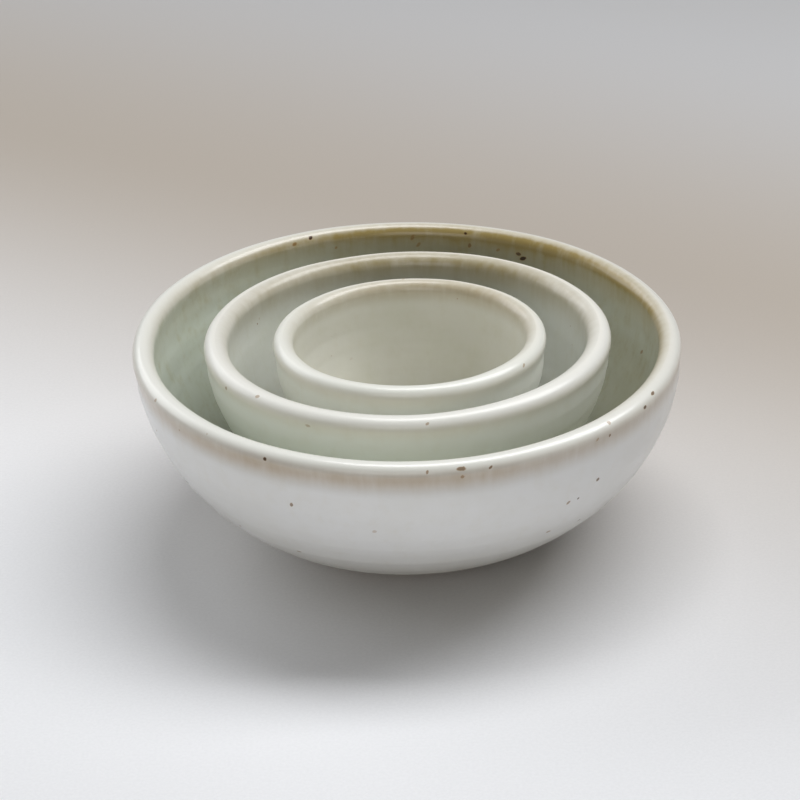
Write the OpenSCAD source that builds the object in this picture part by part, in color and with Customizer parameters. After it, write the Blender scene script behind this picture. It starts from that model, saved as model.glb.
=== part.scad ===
// Nest of three hand-thrown glazed bowls. Each bowl stands on the floor of the
// next larger one, and the three lips end almost level. A bowl is one turned
// body: a full round lip, a curved wall and a low foot ring.
// Origin: centre of the large bowl's foot, on the surface it stands on. +Z is up.

/* [Large bowl] */
// Outside diameter at the lip
large_diameter = 160; // [156:1:166]
// Height from the foot to the top of the lip
large_height = 63; // [61:0.5:66]
// Thickness of the round lip
large_lip = 6.4; // [5.5:0.1:7.5]
// Lean of the wall from upright, just under the lip, in degrees
large_lean = 5.5; // [4:0.5:8]
// Outside diameter of the foot ring
large_foot_diameter = 60; // [54:1:66]

/* [Medium bowl] */
// Outside diameter at the lip
medium_diameter = 119; // [116:1:122]
// Height from the foot to the top of the lip
medium_height = 56.4; // [54:0.2:59]
// Thickness of the round lip
medium_lip = 7.2; // [6:0.1:7.6]
// Lean of the wall from upright, just under the lip, in degrees
medium_lean = 6; // [4:0.5:8]
// Outside diameter of the foot ring
medium_foot_diameter = 45; // [42:1:48]

/* [Small bowl] */
// Outside diameter at the lip
small_diameter = 80; // [77:1:82]
// Height from the foot to the top of the lip
small_height = 48.4; // [46:0.2:51]
// Thickness of the round lip
small_lip = 5.9; // [5:0.1:6.5]
// Lean of the wall from upright, just under the lip, in degrees
small_lean = 3; // [2:0.5:6]
// Outside diameter of the foot ring
small_foot_diameter = 34; // [31:1:36]

/* [All bowls] */
// Height of the foot ring under the wall
foot_height = 2.6; // [2:0.1:3.4]
// Width of the ring that each bowl stands on
foot_width = 5; // [4:0.5:6]
// Depth of the turned hollow inside the foot ring
foot_hollow = 1.8; // [1:0.1:2]
// Thickness of the floor over that hollow
floor_thickness = 5.6; // [5:0.1:6.4]
// Rounding of the foot ring's two edges
foot_rounding = 0.8; // [0.4:0.1:1.2]
// Flat part of the floor that reaches past the foot of the bowl inside it
floor_margin = 1.5; // [1:0.5:3]
// Clearance under a bowl that stands in another
stand_gap = 0.1; // [0.05:0.05:0.3]

/* [Hidden] */
$fn = 96;

// Points along each arc of the outline
lip_steps = 16;
wall_steps = 28;
edge_steps = 6;

large_glaze = [0.86, 0.84, 0.80];
medium_glaze = [0.77, 0.80, 0.72];
small_glaze = [0.84, 0.85, 0.79];

// Height of a bowl's floor above its own foot
floor_height = foot_hollow + floor_thickness;

// Height at which the medium and the small bowl stand
medium_base = floor_height + stand_gap;
small_base = medium_base + floor_height + stand_gap;

// Radius of the flat floor in each bowl
large_floor = medium_foot_diameter / 2 + floor_margin;
medium_floor = small_foot_diameter / 2 + floor_margin;
small_floor = small_foot_diameter / 2 - foot_width;

// Points on an arc about a centre, from one angle to another
function arc(centre, radius, from, to, steps) =
    [for (i = [0:steps])
        let (angle = from + (to - from) * i / steps)
        centre + radius * [cos(angle), sin(angle)]];

// Points on a quarter ellipse that runs from the floor's edge up to the lip
function inner_wall(floor_edge, reach, rise) =
    [for (i = [0:wall_steps - 1])
        let (angle = -90 + 90 * i / wall_steps)
        floor_edge + [reach * cos(angle), rise * (1 + sin(angle))]];

// Radius of the one arc that leaves the lip at the given lean and meets the foot
function wall_radius(lip_centre, lip_radius, foot_top, lean) =
    let (
        span = foot_top - lip_centre,
        inward = [-cos(lean), sin(lean)]
    )
    (span * span - lip_radius ^ 2) / (2 * (span * inward + lip_radius)) + lip_radius;

// Half section of a bowl, as radius and height
module bowl_section(diameter, height, lip, lean, foot_diameter, floor_radius) {
    lip_radius = lip / 2;
    lip_centre = [diameter / 2 - lip_radius, height - lip_radius];
    foot_top = [foot_diameter / 2, foot_height];
    radius = wall_radius(lip_centre, lip_radius, foot_top, lean);
    wall_centre = lip_centre + (radius - lip_radius) * [-cos(lean), sin(lean)];
    foot_angle = asin((foot_top.y - wall_centre.y) / radius);
    floor_edge = [floor_radius, floor_height];
    outer_edge = [foot_top.x - foot_rounding, foot_rounding];
    inner_edge = [foot_top.x - foot_width + foot_rounding, foot_rounding];
    polygon(concat(
        [[0, floor_height]],
        inner_wall(floor_edge, lip_centre.x - lip_radius - floor_radius,
            lip_centre.y - floor_height),
        arc(lip_centre, lip_radius, 180, -lean, lip_steps),
        arc(wall_centre, radius, -lean, foot_angle, wall_steps),
        arc(outer_edge, foot_rounding, 0, -90, edge_steps),
        arc(inner_edge, foot_rounding, -90, -180, edge_steps),
        [[inner_edge.x - foot_rounding, foot_hollow], [0, foot_hollow]]
    ));
}

module large_bowl() {
    color(large_glaze)
    rotate_extrude()
    bowl_section(large_diameter, large_height, large_lip, large_lean,
        large_foot_diameter, large_floor);
}

module medium_bowl() {
    color(medium_glaze)
    translate([0, 0, medium_base])
    rotate_extrude()
    bowl_section(medium_diameter, medium_height, medium_lip, medium_lean,
        medium_foot_diameter, medium_floor);
}

module small_bowl() {
    color(small_glaze)
    translate([0, 0, small_base])
    rotate_extrude()
    bowl_section(small_diameter, small_height, small_lip, small_lean,
        small_foot_diameter, small_floor);
}

large_bowl();
medium_bowl();
small_bowl();
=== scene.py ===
"""Nest of three hand-thrown glazed bowls: the looks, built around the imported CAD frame.

Lengths are in metres unless a name says mm, and the frame is the CAD model's own: +Z up, origin
under the centre of the large bowl's foot. The camera looks along +Y, from -Y.
"""
import math
from collections import namedtuple
from types import SimpleNamespace

import bpy
import numpy as np
from mathutils import Matrix, Vector


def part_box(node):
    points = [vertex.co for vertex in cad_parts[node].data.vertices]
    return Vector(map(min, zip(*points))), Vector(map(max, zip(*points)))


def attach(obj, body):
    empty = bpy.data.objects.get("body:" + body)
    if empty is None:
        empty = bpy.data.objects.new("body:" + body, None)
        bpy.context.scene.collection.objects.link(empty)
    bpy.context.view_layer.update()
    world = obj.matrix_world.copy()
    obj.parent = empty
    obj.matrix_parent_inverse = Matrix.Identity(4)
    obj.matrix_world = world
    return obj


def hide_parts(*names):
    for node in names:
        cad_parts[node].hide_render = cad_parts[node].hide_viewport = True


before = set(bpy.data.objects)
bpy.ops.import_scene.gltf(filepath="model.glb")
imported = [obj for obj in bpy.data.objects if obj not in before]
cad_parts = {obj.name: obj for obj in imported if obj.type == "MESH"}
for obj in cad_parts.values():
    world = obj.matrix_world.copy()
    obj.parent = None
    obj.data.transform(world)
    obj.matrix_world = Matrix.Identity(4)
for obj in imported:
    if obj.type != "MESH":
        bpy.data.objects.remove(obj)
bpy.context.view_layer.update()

MM = 0.001
SEED = 7

# The two sides of a bowl's wall
OUTSIDE, INSIDE = 1, -1

# Mesh density: points around a bowl, and along each stretch of its outline
TURN_STEPS = 384
FLOOR_STEPS = 15
BASE_STEPS = 14
LIP_STEPS = 36
WALL_STEPS = 72
EDGE_STEPS = 8


# ---------------------------------------------------------------- bowls

class Bowl:
    """One bowl: its CAD node and the sizes, in millimetres, that its box doesn't give."""

    def __init__(self, name, lip, lean, foot_width, floor_width, off_centre, tilt, twist, oval,
                 lopside, seed):
        self.name = name
        self.node = name + "_bowl"
        self.slot = name + "_glaze"
        self.lip_radius = lip / 2
        self.lean = math.radians(lean)
        self.foot_radius = foot_width / 2
        self.floor_radius = floor_width / 2
        self.off_centre = off_centre
        self.tilt = tilt
        self.twist = twist
        self.oval = oval
        self.lopside = lopside
        self.seed = seed
        low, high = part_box(self.node)
        self.base = low[2] / MM
        self.top = high[2] / MM
        self.radius = (high[0] - low[0]) / 2 / MM


# Unevenness of the lips, in millimetres towards +X and +Y: where the bowl stands off centre, how
# much higher the lip is on that side, how the lip twists out of flat, and how it is drawn oval.
# lopside is how much fuller the belly is towards +X
BOWLS = {
    "large": Bowl("large", lip=6.4, lean=5.5, foot_width=60, floor_width=48, off_centre=(0, 0),
                  tilt=(-0.45, 1.35), twist=(0.25, -0.15), oval=(-0.1, -0.15), lopside=1.5, seed=1),
    "medium": Bowl("medium", lip=7.2, lean=6.0, foot_width=45, floor_width=37, off_centre=(0.4, 0.2),
                   tilt=(0.3, -0.55), twist=(0.15, -0.1), oval=(0.1, 0.1), lopside=0.0, seed=2),
    "small": Bowl("small", lip=5.9, lean=3.0, foot_width=34, floor_width=24, off_centre=(1.1, 0),
                  tilt=(0.2, -0.55), twist=(0, -0.05), oval=(0, 0.05), lopside=0.0, seed=3),
}

# A band where the glaze breaks tan, which inside at the back and right is also painted shade: its
# side, where it starts, is strongest and ends in millimetres below the lip's top (below 0 is over the
# top, on the other side), how strong it is, the angle in degrees from +X at which it is strongest,
# and how far it fades on the opposite side
Band = namedtuple("Band", "side start peak end strength towards fade")
BREAKS_AND_SHADE = {
    "large": [
        Band(OUTSIDE, 1.9, 5.8, 12.0, 0.86, 240, 0.45),
        # Inside, these bands are partly the glaze's tan and partly painted shade: over the lip's top at
        # the back and right, and in the deep band on the right wall
        Band(INSIDE, -1.5, 4.0, 18.0, 0.84, 65, 0.84),
        Band(INSIDE, 1.2, 3.4, 7.0, 0.30, 60, 1.0),
        Band(INSIDE, -4.5, 0.5, 7.0, 0.24, 35, 1.0),
        # Painted shade: a faint deep darkening of the right inside wall
        Band(INSIDE, 8.0, 22.0, 70.0, 0.34, 10, 0.95),
    ],
    "medium": [
        Band(OUTSIDE, 2.6, 5.2, 9.5, 0.34, 270, 0.3),
        # Inside, at the back, these bands are partly painted shade, most of all over the lip's top
        Band(INSIDE, -3.0, 4.0, 14.0, 0.86, 82, 0.80),
        Band(INSIDE, -4.0, 0.0, 6.0, 0.12, 80, 1.0),
    ],
    "small": [
        Band(OUTSIDE, 2.2, 4.6, 9.0, 0.34, 270, 0.3),
        # Inside, at the back, these bands are partly painted shade, most of all over the lip's top
        Band(INSIDE, -2.8, 3.2, 9.0, 0.76, 68, 0.80),
        Band(INSIDE, -4.0, 0.0, 6.0, 0.15, 75, 1.0),
    ],
}

# Shared by the three bowls, in millimetres, as in the CAD model
FOOT_HEIGHT = 2.6
FOOT_RING = 5.0
FOOT_HOLLOW = 1.8
FOOT_ROUNDING = 0.8
FLOOR_HEIGHT = 7.4

# The throat turned under the lip, outside: its depth, and where it lies below the lip's top
THROAT_DEPTH = 0.45
THROAT_BELOW = 8.0
THROAT_SPREAD = 3.0

# Glaze stops this far above the foot ring
GLAZE_EDGE = 1.2

# Marks of throwing, in millimetres: waves around the lip, ridges along the wall, and a spiral
# across them. Ridges and spiral grow to full over MARKS_FADE below the lip's round
LIP_WAVE = 0.16
RIDGE = 0.010
SPIRAL = 0.02
MARKS_FADE = 6.0

# Shares of the bowl's height: up to where the wall is true, and over how much the marks then grow
TRUE_FOOT = 0.12
TRUE_FOOT_FADE = 0.1

# The lip's unevenness dies away down the wall as this power of the share of the height
LOOSENING = 1.5


def arc(centre, radius, start, end, steps):
    """Points on an arc, angles in radians."""
    angles = np.linspace(start, end, steps)
    return np.stack([centre[0] + radius * np.cos(angles), centre[1] + radius * np.sin(angles)], 1)


def outline(bowl):
    """Half section from the middle of the floor, over the lip, to the middle of the base.

    Returns the points in millimetres, and how far each is along the outline from the lip's top:
    negative on the inside and positive on the outside.
    """
    height = bowl.top - bowl.base
    lip = np.array([bowl.radius - bowl.lip_radius, height - bowl.lip_radius])
    foot = np.array([bowl.foot_radius, FOOT_HEIGHT])
    inward = np.array([-math.cos(bowl.lean), math.sin(bowl.lean)])
    span = foot - lip
    reach = (span @ span - bowl.lip_radius ** 2) / (2 * (span @ inward + bowl.lip_radius))
    wall_centre = lip + reach * inward
    wall_radius = reach + bowl.lip_radius
    foot_angle = math.asin((foot[1] - wall_centre[1]) / wall_radius)

    floor_places = np.linspace(0, bowl.floor_radius, FLOOR_STEPS + 1)[:-1]
    floor = np.stack([floor_places, np.full(FLOOR_STEPS, FLOOR_HEIGHT)], 1)
    rise = lip[1] - FLOOR_HEIGHT
    sweep = np.linspace(-math.pi / 2, 0, WALL_STEPS)[:-1]
    inner = np.stack([
        bowl.floor_radius + (lip[0] - bowl.lip_radius - bowl.floor_radius) * np.cos(sweep),
        FLOOR_HEIGHT + rise * (1 + np.sin(sweep)),
    ], 1)
    rim = arc(lip, bowl.lip_radius, math.pi, -bowl.lean, LIP_STEPS)
    outer = arc(wall_centre, wall_radius, -bowl.lean, foot_angle, WALL_STEPS)[1:]
    outer_edge = [foot[0] - FOOT_ROUNDING, FOOT_ROUNDING]
    inner_edge = [foot[0] - FOOT_RING + FOOT_ROUNDING, FOOT_ROUNDING]
    ring = np.concatenate([
        arc(outer_edge, FOOT_ROUNDING, 0, -math.pi / 2, EDGE_STEPS),
        arc(inner_edge, FOOT_ROUNDING, -math.pi / 2, -math.pi, EDGE_STEPS),
    ])
    base_edge = foot[0] - FOOT_RING
    base = np.stack([np.linspace(base_edge, 0, BASE_STEPS), np.full(BASE_STEPS, FOOT_HOLLOW)], 1)
    points = np.concatenate([floor, inner, rim, outer, ring, base])

    steps = np.hypot(*np.diff(points, axis=0).T)
    along = np.concatenate([[0], np.cumsum(steps)])
    top = len(floor) + len(inner) + int(np.argmax(rim[:, 1]))
    return points, along - along[top]


def ripple(turn, seed):
    """Small seeded waves around a lip, up to about 0.1 mm either way."""
    rng = np.random.default_rng(SEED * 100 + seed)
    total = np.zeros_like(turn)
    for order in (4, 5, 7, 9, 13):
        total = total + LIP_WAVE / order * np.cos(order * turn + rng.uniform(0, math.tau))
    return total


def throwing_rings(along, seed):
    """Fine uneven ridges left by the fingers, in millimetres, along the wall."""
    rng = np.random.default_rng(SEED * 1000 + seed)
    total = np.zeros_like(along)
    for pitch in (3.1, 4.7, 7.9, 12.5):
        phase = rng.uniform(0, math.tau)
        total = total + RIDGE * math.sqrt(pitch) * np.sin(math.tau * along / pitch + phase)
    return total


def sway(bowl, turn):
    """How far the lip is drawn out and lifted at each angle, in millimetres."""
    out = bowl.oval[0] * np.cos(2 * turn) + bowl.oval[1] * np.sin(2 * turn) + ripple(turn, bowl.seed)
    lift = (bowl.tilt[0] * np.cos(turn) + bowl.tilt[1] * np.sin(turn)
            + bowl.twist[0] * np.cos(2 * turn) + bowl.twist[1] * np.sin(2 * turn)
            + ripple(turn, bowl.seed + 10))
    return out, lift


def belly(bowl, turn, up, outside):
    """The outside of a bowl may stand out more on its +X side, half way up."""
    return bowl.lopside * np.sin(math.pi * up) * (1 + np.cos(turn)) / 2 * outside


def finished_place(bowl, turn, radius, height, outside):
    """Where a point of the plain outline lies on the uneven bowl, in millimetres."""
    up = min(max(height / (bowl.top - bowl.base), 0), 1)
    out, lift = sway(bowl, np.array([turn]))
    radius = radius + up ** LOOSENING * float(out[0]) + float(belly(bowl, turn, up, outside))
    x = radius * math.cos(turn) + bowl.off_centre[0]
    y = radius * math.sin(turn) + bowl.off_centre[1]
    return Vector((x, y, height + up ** LOOSENING * float(lift[0]) + bowl.base))


def browning_and_shade(bowl, turn, along):
    """How far the glaze browns where it runs thin under the lip, with the painted shade of the inside
    bands at the back and right, 0 to 1.
    """
    total = np.zeros((len(turn), len(along)))
    for band in BREAKS_AND_SHADE[bowl.name]:
        below = along * band.side
        rise = np.clip((below - band.start) / (band.peak - band.start), 0, 1)
        fall = np.clip((band.end - below) / (band.end - band.peak), 0, 1)
        profile = (rise * rise * (3 - 2 * rise)) * (fall * fall * (3 - 2 * fall))
        facing = (1 + np.cos(turn - math.radians(band.towards))) / 2
        around = 1 - band.fade + band.fade * facing ** 2
        total += band.strength * profile[None, :] * around[:, None]
    return np.clip(total, 0, 1)


def bowl_mesh(bowl, section):
    """The whole bowl as one closed mesh, with the small unevenness of a thrown bowl."""
    points, along = section
    height = bowl.top - bowl.base
    tangent = np.gradient(points, axis=0)
    normal = np.stack([-tangent[:, 1], tangent[:, 0]], 1)
    normal /= np.maximum(np.hypot(*normal.T), 1e-9)[:, None]

    # Towards the lip the unevenness grows, and at the foot the bowl is true
    up = np.clip(points[:, 1] / height, 0, 1)
    wall = np.clip((np.abs(along) - bowl.lip_radius) / MARKS_FADE, 0, 1)
    wall = wall * np.clip((up - TRUE_FOOT) / TRUE_FOOT_FADE, 0, 1)
    throat = THROAT_DEPTH * np.exp(-((along - THROAT_BELOW) / THROAT_SPREAD) ** 2) * (along > 0)
    shaped = points + normal * (throwing_rings(along, bowl.seed) * wall - throat)[:, None]

    turn = np.linspace(0, math.tau, TURN_STEPS, endpoint=False)
    out, lift = sway(bowl, turn)
    spiral = SPIRAL * np.sin(turn[:, None] + along[None, :] * 0.9) * wall[None, :]
    loose = up[None, :] ** LOOSENING
    r = shaped[None, :, 0] + loose * out[:, None] + spiral
    r = r + belly(bowl, turn[:, None], up[None, :], along[None, :] > 0)
    z = shaped[None, :, 1] + loose * lift[:, None] + bowl.base
    x = r * np.cos(turn)[:, None] + bowl.off_centre[0]
    y = r * np.sin(turn)[:, None] + bowl.off_centre[1]

    rows = len(points) - 2
    body = np.stack([x, y, z], 2)[:, 1:-1].reshape(-1, 3)
    ends = [[*bowl.off_centre, shaped[end, 1] + bowl.base] for end in (0, -1)]
    verts = np.concatenate([body, ends]) * MM

    faces = []
    first_end, last_end = len(body), len(body) + 1
    for i in range(TURN_STEPS):
        here, there = i * rows, (i + 1) % TURN_STEPS * rows
        faces.append((here, there, first_end))
        faces.append((there + rows - 1, here + rows - 1, last_end))
        for j in range(rows - 1):
            faces.append((here + j, here + j + 1, there + j + 1, there + j))

    mesh = bpy.data.meshes.new(bowl.name)
    mesh.from_pydata(verts.tolist(), [], faces)
    mesh.validate()
    brown_and_shade = browning_and_shade(bowl, turn, along)
    layers = {
        "depth": (np.tile(along[1:-1], TURN_STEPS), (along[0], along[-1])),
        "browned_and_shaded": (brown_and_shade[:, 1:-1].reshape(-1), (0.0, 0.0)),
    }
    for name, (around, at_ends) in layers.items():
        layer = mesh.attributes.new(name, "FLOAT", "POINT")
        layer.data.foreach_set("value", np.concatenate([around, at_ends]).astype(np.float32))
    mesh.polygons.foreach_set("use_smooth", [True] * len(mesh.polygons))
    mesh.update()
    return mesh


# ---------------------------------------------------------------- shader helpers

class Nodes:
    """Short names for the shader nodes that the glaze uses."""

    def __init__(self, name):
        self.material = bpy.data.materials.new(name)
        self.material.use_nodes = True
        self.tree = self.material.node_tree
        self.tree.nodes.clear()

    def new(self, kind, **settings):
        node = self.tree.nodes.new(kind)
        for key, value in settings.items():
            setattr(node, key, value)
        return node

    def put(self, socket, value):
        if isinstance(value, bpy.types.NodeSocket):
            self.tree.links.new(value, socket)
        elif isinstance(value, (tuple, list)) and len(value) == 3 and socket.type == "RGBA":
            socket.default_value = (*value, 1)
        else:
            socket.default_value = value

    def maths(self, operation, a, b=0.0):
        node = self.new("ShaderNodeMath", operation=operation)
        self.put(node.inputs[0], a)
        self.put(node.inputs[1], b)
        return node.outputs[0]

    def times(self, a, b):
        return self.maths("MULTIPLY", a, b)

    def plus(self, a, b):
        return self.maths("ADD", a, b)

    def vector(self, operation, a, b):
        node = self.new("ShaderNodeVectorMath", operation=operation)
        self.put(node.inputs[0], a)
        self.put(node.inputs[1], b)
        return node.outputs[1] if operation in ("DISTANCE", "DOT_PRODUCT") else node.outputs[0]

    def scaled(self, vector, amount):
        node = self.new("ShaderNodeVectorMath", operation="SCALE")
        self.put(node.inputs[0], vector)
        self.put(node.inputs[3], amount)
        return node.outputs[0]

    def step(self, value, low, high):
        """0 below low, 1 above high, smooth between. With low above high it falls."""
        node = self.new("ShaderNodeMapRange", interpolation_type="SMOOTHSTEP")
        rising = low <= high
        limits = (low, high, 0.0, 1.0) if rising else (high, low, 1.0, 0.0)
        self.put(node.inputs[0], value)
        for socket, limit in zip(node.inputs[1:5], limits):
            self.put(socket, limit)
        return node.outputs[0]

    def noise(self, where, size, detail=2.0, roughness=0.5):
        """Noise from 0 to 1 around 0.5, with features about this many millimetres across."""
        node = self.new("ShaderNodeTexNoise")
        self.put(node.inputs["Vector"], where)
        self.put(node.inputs["Scale"], 1 / (size * MM))
        self.put(node.inputs["Detail"], detail)
        self.put(node.inputs["Roughness"], roughness)
        return node.outputs["Fac"]

    def choose(self, amount, a, b):
        """A number between a and b."""
        node = self.new("ShaderNodeMix", data_type="FLOAT", clamp_factor=True)
        self.put(node.inputs[0], amount)
        self.put(node.inputs[2], a)
        self.put(node.inputs[3], b)
        return node.outputs[0]

    def mix(self, amount, a, b):
        """A colour between a and b."""
        node = self.new("ShaderNodeMix", data_type="RGBA", clamp_factor=True)
        self.put(node.inputs["Factor"], amount)
        self.put(node.inputs[6], a)
        self.put(node.inputs[7], b)
        return node.outputs[2]

    def largest(self, values):
        """The largest of several numbers."""
        total = values[0]
        for value in values[1:]:
            total = self.maths("MAXIMUM", total, value)
        return total

    def tint(self, colour, by):
        """A colour multiplied by another."""
        node = self.new("ShaderNodeMix", data_type="RGBA", blend_type="MULTIPLY")
        self.put(node.inputs["Factor"], 1.0)
        self.put(node.inputs[6], colour)
        self.put(node.inputs[7], by)
        return node.outputs[2]

    def noise_vector(self, where, size):
        """Three noises at once, each around 0."""
        node = self.new("ShaderNodeTexNoise")
        self.put(node.inputs["Vector"], where)
        self.put(node.inputs["Scale"], 1 / (size * MM))
        return self.vector("SUBTRACT", node.outputs["Color"], (0.5, 0.5, 0.5))

    def scatter(self, where, spacing, chance, radius):
        """Small spots at random places: how much of the surface here is spot, 0 to 1."""
        cells = self.new("ShaderNodeTexVoronoi", feature="F1", voronoi_dimensions="3D")
        self.put(cells.inputs["Vector"], where)
        self.put(cells.inputs["Scale"], 1 / (spacing * MM))
        # Each cell's colour is random: it picks the cells that hold a spot, its size and its strength
        parts = self.new("ShaderNodeSeparateColor")
        self.put(parts.inputs[0], cells.outputs["Color"])
        chosen = self.maths("GREATER_THAN", parts.outputs[0], 1 - chance)
        size = self.times(self.plus(parts.outputs[1], 0.35), radius / spacing)
        spot = self.step(self.maths("DIVIDE", cells.outputs["Distance"], size), 1.0, 0.55)
        return self.times(self.times(spot, chosen), self.plus(self.times(parts.outputs[2], 0.7), 0.3))

    def surface(self, colour, roughness, height, strength, distance, fixed=()):
        """Finish the material. Fixed values are pairs of a shader socket's name and its number."""
        shader = self.new("ShaderNodeBsdfPrincipled")
        self.put(shader.inputs["Base Color"], colour)
        self.put(shader.inputs["Roughness"], roughness)
        for name, value in fixed:
            shader.inputs[name].default_value = value
        bump = self.new("ShaderNodeBump")
        self.put(bump.inputs["Strength"], strength)
        self.put(bump.inputs["Distance"], distance * MM)
        self.put(bump.inputs["Height"], height)
        self.put(shader.inputs["Normal"], bump.outputs[0])
        output = self.new("ShaderNodeOutputMaterial")
        self.put(output.inputs["Surface"], shader.outputs[0])
        return self.material


# ---------------------------------------------------------------- specks

# A zone where the larger iron specks show: its side, how many there are, between which angles in
# degrees from +X, how far below the lip's top in millimetres, and how dark the darkest may be
Zone = namedtuple("Zone", "side count turns depths darkest")
SPECK_ZONES = {
    "large": [
        Zone(INSIDE, 9, (55, 125), (2, 9), 1.0),
        Zone(INSIDE, 4, (-20, 200), (7, 18), 0.8),
        Zone(OUTSIDE, 5, (300, 330), (2, 6), 0.9),
        Zone(OUTSIDE, 5, (300, 320), (15, 45), 1.0),
        Zone(OUTSIDE, 7, (190, 290), (3, 8), 0.9),
        Zone(OUTSIDE, 5, (200, 290), (15, 45), 0.6),
        Zone(OUTSIDE, 4, (0, 180), (3, 40), 0.7),
    ],
    "medium": [Zone(OUTSIDE, 4, (0, 360), (2, 8), 0.35)],
    "small": [
        Zone(OUTSIDE, 2, (0, 360), (1, 5), 0.4),
        Zone(INSIDE, 3, (0, 360), (16, 34), 0.3),
    ],
}

# Every larger speck: its width in millimetres, its length in widths, its slant from level in
# degrees, how dark it is next to the zone's darkest, and its dark core and outer edge in widths
SPECK_WIDTHS = (0.6, 1.1)
SPECK_LENGTHS = (1.0, 2.2)
SPECK_SLANTS = (0, 80)
SPECK_DARKNESS = (0.35, 1.0)
SPECK_CORE = 0.40
SPECK_EDGE = 0.74

Speck = namedtuple("Speck", "turn depth length width slant dark")


def strewn_specks(bowl):
    """The larger specks, strewn over their zones. Depth is negative on the inside."""
    rng = np.random.default_rng(SEED * 10000 + bowl.seed)
    specks = []
    for zone in SPECK_ZONES[bowl.name]:
        for _ in range(zone.count):
            width = rng.uniform(*SPECK_WIDTHS)
            turn = rng.uniform(*zone.turns)
            depth = zone.side * rng.uniform(*zone.depths)
            length = width * rng.uniform(*SPECK_LENGTHS)
            slant = rng.uniform(*SPECK_SLANTS)
            dark = zone.darkest * rng.uniform(*SPECK_DARKNESS)
            specks.append(Speck(turn, depth, length, width, slant, dark))
    return specks


def speck_place(bowl, section, speck):
    """Where a speck's middle lies, in metres, and the direction of its length."""
    points, along = section
    turn, slant = math.radians(speck.turn), math.radians(speck.slant)
    here = [float(np.interp(speck.depth, along, points[:, axis])) for axis in (0, 1)]
    further = [float(np.interp(speck.depth + 0.5, along, points[:, axis])) for axis in (0, 1)]
    outward = Vector((math.cos(turn), math.sin(turn), 0))
    level = Vector((-math.sin(turn), math.cos(turn), 0))
    down = (outward * (further[0] - here[0]) + Vector((0, 0, further[1] - here[1]))).normalized()
    middle = finished_place(bowl, turn, *here, speck.depth > 0) * MM
    return middle, level * math.cos(slant) - down * math.sin(slant)


def speck_mask(n, where, bowl, section):
    """How dark the larger specks make each place, 0 to 1."""
    spots = []
    for speck in strewn_specks(bowl):
        middle, lengthways = speck_place(bowl, section, speck)
        offset = n.vector("SUBTRACT", where, tuple(middle))
        run = n.vector("DOT_PRODUCT", offset, tuple(lengthways))
        squeeze = n.times(run, speck.width / speck.length - 1)
        squeezed = n.vector("ADD", offset, n.scaled(tuple(lengthways), squeeze))
        away = n.vector("DISTANCE", squeezed, (0, 0, 0))
        spot = n.step(away, SPECK_EDGE * speck.width * MM, SPECK_CORE * speck.width * MM)
        spots.append(n.times(spot, speck.dark))
    return n.largest(spots)


# ---------------------------------------------------------------- materials

# Each bowl's glaze: linear colours of the lip, the wall and the tan break, how matt it is, how
# strong its clear coat is, and how mottled it is inside. The wall's two colours are shaded and lit
# copies of one glaze: inside it is painted darker and greener as shade, outside painted brighter as
# light. The inside break colour also paints shade at the back and right
GLAZES = {
    "large": dict(
        lip=(0.87, 0.875, 0.82), wall_out_lit=(0.81, 0.812, 0.805), wall_in_shaded=(0.635, 0.68, 0.605),
        break_out=(0.49, 0.40, 0.29), break_in_and_shade=(0.35, 0.265, 0.095), matt=0.36, coat=0.35, mottled=0.42,
    ),
    "medium": dict(
        lip=(0.88, 0.88, 0.83), wall_out_lit=(0.94, 0.96, 0.91), wall_in_shaded=(0.71, 0.725, 0.67),
        break_out=(0.76, 0.67, 0.52), break_in_and_shade=(0.37, 0.31, 0.17), matt=0.38, coat=0.18, mottled=0.12,
    ),
    "small": dict(
        lip=(0.86, 0.87, 0.81), wall_out_lit=(0.94, 0.955, 0.89), wall_in_shaded=(0.745, 0.74, 0.665),
        break_out=(0.76, 0.67, 0.52), break_in_and_shade=(0.46, 0.38, 0.23), matt=0.36, coat=0.22, mottled=0.08,
    ),
}
MOTTLED_OUTSIDE = 0.08
COAT_ROUGHNESS = 0.13
GLAZE_IOR = 1.5

# What the wall's colour is multiplied by: in its clouds, inside and outside, where it is thin, deep
# in the floor, where the glaze pools and painted shade darkens the hollow, and low on the outside,
# where painted shade lies under the belly along with some thinning of the glaze
CLOUD_IN = (0.95, 0.955, 0.92)
CLOUD_OUT = (0.975, 0.97, 0.955)
THIN = (0.80, 0.72, 0.54)
POOLED_AND_SHADE = (0.86, 0.85, 0.83)
LOW_OUTSIDE_SHADE = (0.62, 0.59, 0.52)

# Where those last two begin and are full, in millimetres along the outline from the lip's top
POOL_AND_SHADE_DEPTHS = (-24.0, -44.0)
LOW_SHADE_DEPTHS = (24.0, 74.0)

IRON = (0.040, 0.013, 0.001)
RUST = (0.36, 0.19, 0.045)
CLAY = (0.46, 0.38, 0.29)
CLAY_GRIT = (0.16, 0.10, 0.07)
TOASTED = (0.42, 0.30, 0.19)

# The floor: two tones of paper around the bowls, and two tones of painted shade that darken it behind
# them, first nearer and to the left, then further and to the right
PAPER_TONES = ((0.87, 0.88, 0.90), (0.835, 0.845, 0.865))
FAR_SHADE_TONES = ((0.43, 0.385, 0.335), (0.51, 0.51, 0.515))


def shaded(colour, by):
    """A fixed colour multiplied by another."""
    return [c * k for c, k in zip(colour, by)]


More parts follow.
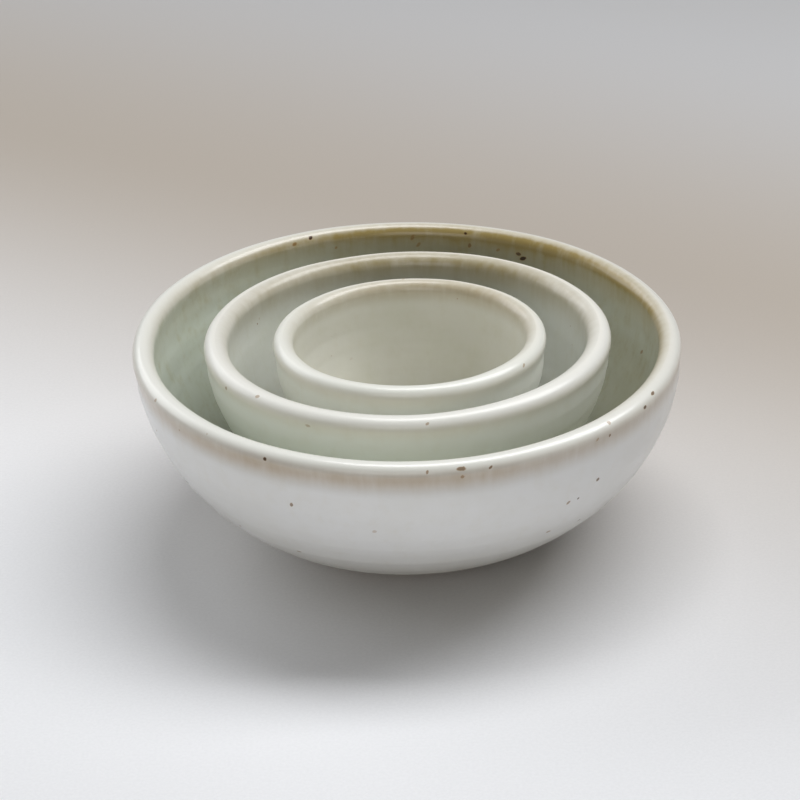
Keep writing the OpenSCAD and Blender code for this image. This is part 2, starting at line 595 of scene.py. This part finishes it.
def glaze_fields(n):
    """What the glaze is worked out from: places, the mesh's own layers, and noises, large to fine."""
    place = n.new("ShaderNodeTexCoord").outputs["Object"]
    depth = n.new("ShaderNodeAttribute", attribute_name="depth").outputs["Fac"]
    return SimpleNamespace(
        place=place,
        depth=depth,
        below=n.maths("ABSOLUTE", depth),
        outside=n.step(depth, -0.3, 0.3),
        browned_and_shaded=n.new("ShaderNodeAttribute", attribute_name="browned_and_shaded").outputs["Fac"],
        cloud=n.noise(place, 38.0, 3.0, 0.5),
        patch=n.noise(place, 9.0, 3.0, 0.6),
        blotch=n.noise(place, 4.5, 4.0, 0.65),
        runs=n.noise(n.vector("MULTIPLY", place, (1, 1, 0.16)), 2.6, 3.0, 0.55),
        fine=n.noise(place, 1.6, 3.0, 0.6),
        grain=n.noise(place, 0.5, 2.0, 0.6),
    )


def wall_colour(n, f, look):
    """The glaze on the wall, painted darker and greener inside as shade and brighter outside as light:
    mottled where it is thin and in runs, darker where it pools in the floor, with painted shade there,
    and low on the outside, with painted shade under the belly."""
    # Painted shade inside and painted light outside: the wall's shaded and lit copies of the glaze
    wall = n.mix(f.outside, look["wall_in_shaded"], look["wall_out_lit"])
    clouded = n.mix(f.outside, shaded(look["wall_in_shaded"], CLOUD_IN), shaded(look["wall_out_lit"], CLOUD_OUT))
    clouds = n.step(n.plus(n.times(f.cloud, 0.6), n.times(f.patch, 0.4)), 0.36, 0.66)
    colour = n.mix(clouds, wall, clouded)
    thin = n.step(n.plus(n.times(f.blotch, 0.6), n.times(f.runs, 0.4)), 0.48, 0.70)
    mottled = n.times(thin, n.choose(f.outside, look["mottled"], MOTTLED_OUTSIDE))
    colour = n.mix(mottled, colour, n.tint(colour, THIN))
    # Deep in the floor: the glaze pooling, and painted shade in the bowl's hollow
    colour = n.mix(n.step(f.depth, *POOL_AND_SHADE_DEPTHS), colour, n.tint(colour, POOLED_AND_SHADE))
    # Painted shade low on the outside, under the belly, and some warm thinning of the glaze towards the
    # foot
    return n.mix(n.step(f.depth, *LOW_SHADE_DEPTHS), colour, n.tint(colour, LOW_OUTSIDE_SHADE))


def with_lip(n, f, look, colour):
    """The lip is cream, and the tan break starts under its round with a soft, uneven edge; inside, at
    the back and right, the break also paints shade over the lip's top and down the wall.
    """
    wander = n.times(n.maths("SUBTRACT", f.patch, 0.5), 3.0)
    colour = n.mix(n.step(n.plus(f.below, wander), 6.5, 3.0), colour, look["lip"])
    # The inside break colour is also the colour of painted shade at the back and right
    tan = n.mix(f.outside, look["break_in_and_shade"], look["break_out"])
    clouds = n.plus(n.times(f.cloud, 0.35), n.times(f.runs, 0.60))
    uneven = n.plus(n.times(f.patch, 0.35), clouds)
    return n.mix(n.times(f.browned_and_shaded, n.plus(uneven, 0.38)), colour, tan)


def with_iron(n, f, bowl, section, colour):
    """Large specks with a rust-coloured halo, and pepper. Returns the colour and how dark they are."""
    ragged = n.vector("ADD", f.place, n.scaled(n.noise_vector(f.place, 1.1), 0.5 * MM))
    marked = speck_mask(n, ragged, bowl, section)
    pepper = n.scatter(ragged, 5.5, 0.11, 0.40)
    dots = n.maths("MAXIMUM", marked, n.times(pepper, 0.5))
    colour = n.mix(n.step(dots, 0.0, 0.45), colour, n.mix(0.66, colour, RUST))
    colour = n.mix(n.step(dots, 0.25, 0.95), colour, IRON)
    return n.mix(n.times(n.step(f.grain, 0.66, 0.80), 0.05), colour, RUST), dots


def with_bare_foot(n, f, bowl, colour):
    """Bare clay from just above the foot ring down, with a thin toasted line along the glaze's edge.
    Returns the colour and where the clay is bare."""
    parts = n.new("ShaderNodeSeparateXYZ")
    n.put(parts.inputs[0], f.place)
    height = n.plus(parts.outputs[2], n.times(n.maths("SUBTRACT", f.cloud, 0.5), 2.0 * MM))
    edge = (bowl.base + FOOT_HEIGHT + GLAZE_EDGE) * MM
    bare = n.times(f.outside, n.step(height, edge + 0.15 * MM, edge - 0.15 * MM))
    toasted = n.times(f.outside, n.step(height, edge + 2.2 * MM, edge))
    colour = n.mix(n.times(toasted, 0.55), colour, TOASTED)
    clay = n.mix(n.step(f.fine, 0.35, 0.7), CLAY, [c * 0.82 for c in CLAY])
    clay = n.mix(n.times(n.step(f.grain, 0.58, 0.72), 0.6), clay, CLAY_GRIT)
    return n.mix(bare, colour, clay), bare


def glaze(bowl, section):
    """Satin glaze over buff clay, which is bare at the foot."""
    look = GLAZES[bowl.name]
    n = Nodes(bowl.slot)
    f = glaze_fields(n)
    colour = with_lip(n, f, look, wall_colour(n, f, look))
    colour, dots = with_iron(n, f, bowl, section, colour)
    colour, bare = with_bare_foot(n, f, bowl, colour)

    # A little glossier on the lip and under the tan break and its painted shade, and rough on the bare
    # clay
    satin = n.plus(look["matt"], n.times(n.maths("SUBTRACT", f.patch, 0.5), 0.14))
    satin = n.plus(satin, n.times(f.browned_and_shaded, -0.06))
    glazed = n.choose(n.step(f.below, 7.0, 2.5), satin, look["matt"] - 0.04)
    roughness = n.choose(bare, glazed, 0.9)

    # A faint orange peel on the glaze, sunk a little at the specks, and grit on the clay
    peel = n.plus(n.times(f.patch, 0.5), n.plus(n.times(f.fine, 0.30), n.times(f.grain, 0.08)))
    grit = n.plus(n.times(f.fine, 0.5), f.grain)
    relief = n.choose(bare, n.plus(peel, n.times(dots, -0.25)), grit)
    fixed = [("IOR", GLAZE_IOR), ("Coat Weight", look["coat"]), ("Coat Roughness", COAT_ROUGHNESS)]
    return n.surface(colour, roughness, relief, 0.35, 0.25, fixed)


def paper():
    """Plain pale floor with a fine tooth, with painted shade that darkens it gently away behind the
    bowls.
    """
    n = Nodes("pale_floor")
    place = n.new("ShaderNodeTexCoord").outputs["Object"]
    tooth = n.noise(place, 0.9, 3.0, 0.6)
    parts = n.new("ShaderNodeSeparateXYZ")
    n.put(parts.inputs[0], place)
    near = n.mix(n.step(tooth, 0.3, 0.7), *PAPER_TONES)
    away = n.plus(parts.outputs[1], n.times(parts.outputs[0], 0.60))
    # Painted shade: the floor darkens away behind the bowls, sooner to the right, warm and darkest
    # first, then a little lighter further on
    far = n.mix(n.step(away, 0.22, 0.50), *FAR_SHADE_TONES)
    grain = n.mix(tooth, (1.03, 1.03, 1.03), (0.97, 0.97, 0.97))
    colour = n.mix(n.step(away, -0.12, 0.24), near, n.tint(far, grain))
    return n.surface(colour, 0.85, tooth, 0.25, 0.15)


def make_bowl(bowl):
    """The visible bowl, which stands for its CAD node and rides on its body."""
    section = outline(bowl)
    piece = bpy.data.objects.new(bowl.name + "_bowl_glazed", bowl_mesh(bowl, section))
    bpy.context.scene.collection.objects.link(piece)
    piece.data.materials.append(glaze(bowl, section))
    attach(piece, bowl.name)
    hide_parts(bowl.node)


# ---------------------------------------------------------------- stage, light, camera

def make_floor():
    """A wide, flat, pale sheet."""
    half_width = 4.0
    corners = [(x * half_width, y * half_width, 0) for x, y in ((-1, -1), (1, -1), (1, 1), (-1, 1))]
    mesh = bpy.data.meshes.new("floor")
    mesh.from_pydata(corners, [], [(0, 1, 2, 3)])
    floor = bpy.data.objects.new("floor", mesh)
    bpy.context.scene.collection.objects.link(floor)
    mesh.materials.append(paper())


def area_light(name, place, target, size, power, colour):
    """A rectangular light facing its target, with its first side as near to +X as that allows."""
    lamp = bpy.data.lights.new(name, "AREA")
    lamp.shape = "RECTANGLE"
    lamp.size, lamp.size_y = size
    lamp.energy = power
    lamp.color = colour
    light = bpy.data.objects.new(name, lamp)
    bpy.context.scene.collection.objects.link(light)
    back = (Vector(place) - Vector(target)).normalized()
    side = (Vector((1, 0, 0)) - back * back.x).normalized()
    turned = Matrix((side, back.cross(side), back)).transposed().to_4x4()
    light.matrix_world = Matrix.Translation(place) @ turned
    return light


def make_lights():
    """A large soft light high on the right and behind, a window behind on the left, and a low, warmer
    fill from the front, in a dim room."""
    world = bpy.data.worlds.new("room")
    world.use_nodes = True
    background = world.node_tree.nodes["Background"]
    background.inputs["Color"].default_value = (1.0, 0.93, 0.80, 1)
    background.inputs["Strength"].default_value = 0.05
    bpy.context.scene.world = world
    middle = (0, 0, 0.03)
    area_light("overhead", (0.32, 0.21, 0.905), middle, (1.1, 0.4), 9.8, (0.98, 0.985, 1.0))
    area_light("window", (-0.72, 0.50, 0.48), middle, (0.9, 0.6), 3.9, (0.97, 0.98, 1.0))
    area_light("front", (-0.18, -0.92, 0.37), middle, (0.7, 0.5), 2.1, (1.0, 0.98, 0.95))


def make_camera():
    """A lens of about 125 mm, about 26 degrees above level and 0.81 m from the large lip's middle."""
    large = BOWLS["large"]
    lip_middle = Vector((0, 0, (large.top - large.lip_radius) * MM))
    lift = math.radians(26.02)
    distance = 0.8134
    aim = lip_middle + Vector((-0.0022, 0, -0.0190))
    roll = math.radians(-1.55)
    data = bpy.data.cameras.new("camera")
    data.lens = 125.3
    data.sensor_width = 36
    camera = bpy.data.objects.new("camera", data)
    bpy.context.scene.collection.objects.link(camera)
    place = lip_middle + distance * Vector((0, -math.cos(lift), math.sin(lift)))
    look = (aim - place).to_track_quat("-Z", "Y").to_matrix().to_4x4()
    camera.matrix_world = Matrix.Translation(place) @ look @ Matrix.Rotation(roll, 4, "Z")
    bpy.context.scene.camera = camera


make_camera()
for bowl in BOWLS.values():
    make_bowl(bowl)
make_floor()
make_lights()

bpy.context.scene.view_settings.view_transform = "Standard"
